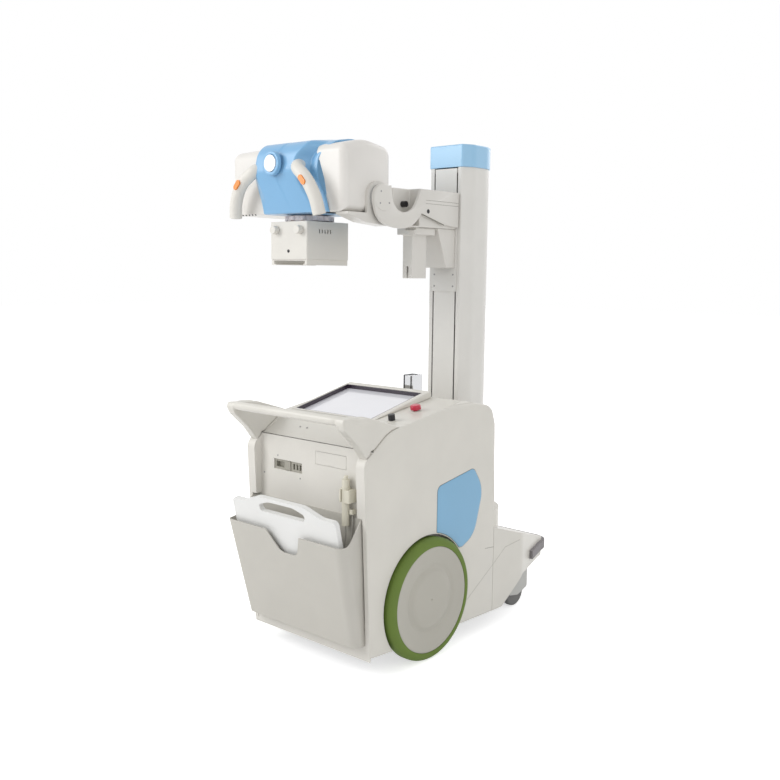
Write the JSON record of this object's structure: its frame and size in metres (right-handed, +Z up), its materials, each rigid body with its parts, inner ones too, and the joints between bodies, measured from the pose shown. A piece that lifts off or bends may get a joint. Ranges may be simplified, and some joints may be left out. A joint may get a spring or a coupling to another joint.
{
  "type": "mobile x-ray machine",
  "caption": "Motor-driven x-ray stand: white wheeled body with console and push bar, swivelling column with a lifting arm, tilting tube head, turning collimator and a stored detector panel.",
  "frame": {"origin": "on the floor under the middle of the overall bounding box", "axes": "+Z up, +Y forward from the push bar to the column, +X to the machine's right side with the hand switch"},
  "size_m": [0.883, 1.354, 1.84],
  "materials": {
    "shell_white": "satin moulded cover",
    "inlay_blue": "satin blue panel",
    "head_blue": "satin blue cover",
    "cap_blue": "pale blue cap",
    "tyre_green": "smooth solid rubber",
    "wheel_grey": "moulded wheel disc",
    "frame_steel": "painted welded steel",
    "unit_grey": "cased units",
    "column_white": "powder coated",
    "rod_steel": "ground steel",
    "bright_chrome": "polished",
    "weight_iron": "cast blocks",
    "belt_black": "reinforced belt",
    "strip_grey": "spring steel strip",
    "arm_white": "painted casting",
    "tube_shield": "lined housing",
    "bumper_grey": "soft strip",
    "caster_grey": "moulded hood",
    "caster_rubber": "grey tread",
    "knob_black": "black",
    "bezel_black": "dark surround",
    "screen_glass": "touch panel",
    "lamp_white": "lamp cover",
    "grip_white": "moulded handle",
    "button_orange": "orange",
    "stop_red": "red",
    "bin_grey": "moulded pocket",
    "detector_white": "smooth case",
    "switch_cream": "moulded clip",
    "cord_grey": "flexible sheath",
    "socket_dark": "dark socket block"
  },
  "bodies": {
    "chassis": {"chassis_frame": "frame_steel", "internal_units": "unit_grey", "side_cover_right": "shell_white", "side_cover_left": "shell_white", "top_cover": "shell_white", "rear_panel": "shell_white", "connector_module": "socket_dark", "side_inlays": "inlay_blue", "front_base_cover": "shell_white", "front_bumper": "bumper_grey", "monitor_frame": "shell_white", "monitor_bezel": "bezel_black", "monitor_screen": "screen_glass", "parking_receiver": "bright_chrome", "push_handle": "shell_white", "storage_bin": "bin_grey", "switch_holder": "switch_cream", "hand_switch": "switch_cream", "switch_cord": "cord_grey"},
    "flap": {"service_flap": "shell_white"},
    "drive_wheel_right": {"wheel_disc_right": "wheel_grey", "tyre_right": "tyre_green"},
    "drive_wheel_left": {"wheel_disc_left": "wheel_grey", "tyre_left": "tyre_green"},
    "caster_right": {"caster_fork_right": "caster_grey"},
    "caster_left": {"caster_fork_left": "caster_grey"},
    "small_wheel_right": {"caster_wheel_right": "caster_rubber"},
    "small_wheel_left": {"caster_wheel_left": "caster_rubber"},
    "column": {"column_extrusion": "column_white", "column_cap": "cap_blue", "column_spindle": "rod_steel", "guide_rails": "rod_steel", "belt_cover": "strip_grey", "lift_belt": "belt_black"},
    "sheave_upper": {"pulley_upper": "rod_steel"},
    "sheave_lower": {"pulley_lower": "rod_steel"},
    "weight": {"counterweight": "weight_iron"},
    "lift": {"carriage": "frame_steel", "arm_brackets": "arm_white", "arm_casting": "arm_white", "arm_side_plate": "arm_white", "tilt_ring": "bright_chrome"},
    "brake_knob": {"arm_knob": "knob_black"},
    "head": {"head_bracket": "arm_white", "tube_housing": "tube_shield", "end_covers": "shell_white", "centre_cover": "head_blue", "head_light": "lamp_white", "head_grips": "grip_white", "swivel_ring": "grip_white"},
    "button_right": {"grip_button_right": "button_orange"},
    "button_left": {"grip_button_left": "button_orange"},
    "collimator": {"collimator_box": "shell_white", "collimator_rails": "shell_white"},
    "dial_right": {"collimator_knob_right": "grip_white"},
    "dial_left": {"collimator_knob_left": "grip_white"},
    "detector": {"detector_panel": "detector_white"},
    "stop": {"stop_button": "stop_red"},
    "key": {"key_switch": "knob_black"},
    "trigger": {"switch_button": "knob_black"}
  },
  "joints": [
    {"name": "wheel_right_spin", "type": "hinge", "parent": "chassis", "child": "drive_wheel_right", "pos_m": [0.4125, -0.262, 0.218], "axis": [1, 0, 0], "continuous": true},
    {"name": "wheel_left_spin", "type": "hinge", "parent": "chassis", "child": "drive_wheel_left", "pos_m": [-0.1755, -0.262, 0.218], "axis": [1, 0, 0], "continuous": true},
    {"name": "caster_right_swivel", "type": "hinge", "parent": "chassis", "child": "caster_right", "pos_m": [0.3335, 0.438, 0.16], "axis": [0, 0, 1], "continuous": true},
    {"name": "caster_left_swivel", "type": "hinge", "parent": "chassis", "child": "caster_left", "pos_m": [-0.0965, 0.438, 0.16], "axis": [0, 0, 1], "continuous": true},
    {"name": "small_wheel_right_roll", "type": "hinge", "parent": "caster_right", "child": "small_wheel_right", "pos_m": [0.3335, 0.396, 0.058], "axis": [1, 0, 0], "continuous": true},
    {"name": "small_wheel_left_roll", "type": "hinge", "parent": "caster_left", "child": "small_wheel_left", "pos_m": [-0.0965, 0.396, 0.058], "axis": [1, 0, 0], "continuous": true},
    {"name": "column_turn", "type": "hinge", "parent": "chassis", "child": "column", "pos_m": [0.1185, 0.282, 0.411], "axis": [0, 0, 1], "range_deg": [-150, 150]},
    {"name": "carriage_slide", "type": "slide", "parent": "column", "child": "lift", "axis": [0, 0, 1], "range_m": [-0.355, 0.08]},
    {"name": "counterweight_slide", "type": "slide", "parent": "column", "child": "weight", "axis": [0, 0, 1], "range_m": [-0.08, 0.355]},
    {"name": "pulley_upper_spin", "type": "hinge", "parent": "column", "child": "sheave_upper", "pos_m": [0.1185, 0.282, 1.7], "axis": [1, 0, 0], "range_deg": [-115, 490]},
    {"name": "pulley_lower_spin", "type": "hinge", "parent": "column", "child": "sheave_lower", "pos_m": [0.1185, 0.282, 0.5], "axis": [1, 0, 0], "range_deg": [-115, 490]},
    {"name": "arm_knob_turn", "type": "hinge", "parent": "lift", "child": "brake_knob", "pos_m": [0.1185, -0.086, 1.6], "axis": [1, 0, 0], "range_deg": [-90, 90]},
    {"name": "head_tilt", "type": "hinge", "parent": "lift", "child": "head", "pos_m": [0.1705, -0.257, 1.61], "axis": [1, 0, 0], "range_deg": [-5, 90]},
    {"name": "grip_button_right_press", "type": "slide", "parent": "head", "child": "button_right", "axis": [0, 1, 0], "range_m": [0, 0.0015], "stiffness_N_per_m": 400},
    {"name": "grip_button_left_press", "type": "slide", "parent": "head", "child": "button_left", "axis": [0, 1, 0], "range_m": [0, 0.0015], "stiffness_N_per_m": 400},
    {"name": "collimator_turn", "type": "hinge", "parent": "head", "child": "collimator", "pos_m": [-0.1435, -0.295, 1.54], "axis": [0, 0, 1], "range_deg": [-45, 45]},
    {"name": "shutter_knob_right_turn", "type": "hinge", "parent": "collimator", "child": "dial_right", "pos_m": [-0.0805, -0.4065, 1.5], "axis": [0, 1, 0], "range_deg": [-60, 60]},
    {"name": "shutter_knob_left_turn", "type": "hinge", "parent": "collimator", "child": "dial_left", "pos_m": [-0.2065, -0.4065, 1.5], "axis": [0, 1, 0], "range_deg": [-60, 60]},
    {"name": "stop_button_press", "type": "slide", "parent": "chassis", "child": "stop", "axis": [0, -0.16, 0.9871], "range_m": [-0.004, 0], "stiffness_N_per_m": 900},
    {"name": "key_switch_turn", "type": "hinge", "parent": "chassis", "child": "key", "pos_m": [0.3285, -0.359, 0.84805], "axis": [0, -0.16, 0.9871], "range_deg": [0, 90]},
    {"name": "hand_switch_press", "type": "slide", "parent": "chassis", "child": "trigger", "axis": [0, 0, 1], "range_m": [-0.003, 0], "stiffness_N_per_m": 400},
    {"name": "detector_lift_out", "type": "slide", "parent": "chassis", "child": "detector", "axis": [0, -0.2228, 0.9749], "range_m": [0, 0.42]},
    {"name": "service_flap_swing", "type": "hinge", "parent": "chassis", "child": "flap", "pos_m": [0.2195, -0.5426, 0.743], "axis": [1, 0, 0], "range_deg": [-90, 0]}
  ],
  "couplings": [
    {"joint": "counterweight_slide", "follows": "carriage_slide", "ratio": -1},
    {"joint": "pulley_upper_spin", "follows": "carriage_slide", "rad_per_m": -23.095},
    {"joint": "pulley_lower_spin", "follows": "carriage_slide", "rad_per_m": -23.095}
  ]
}
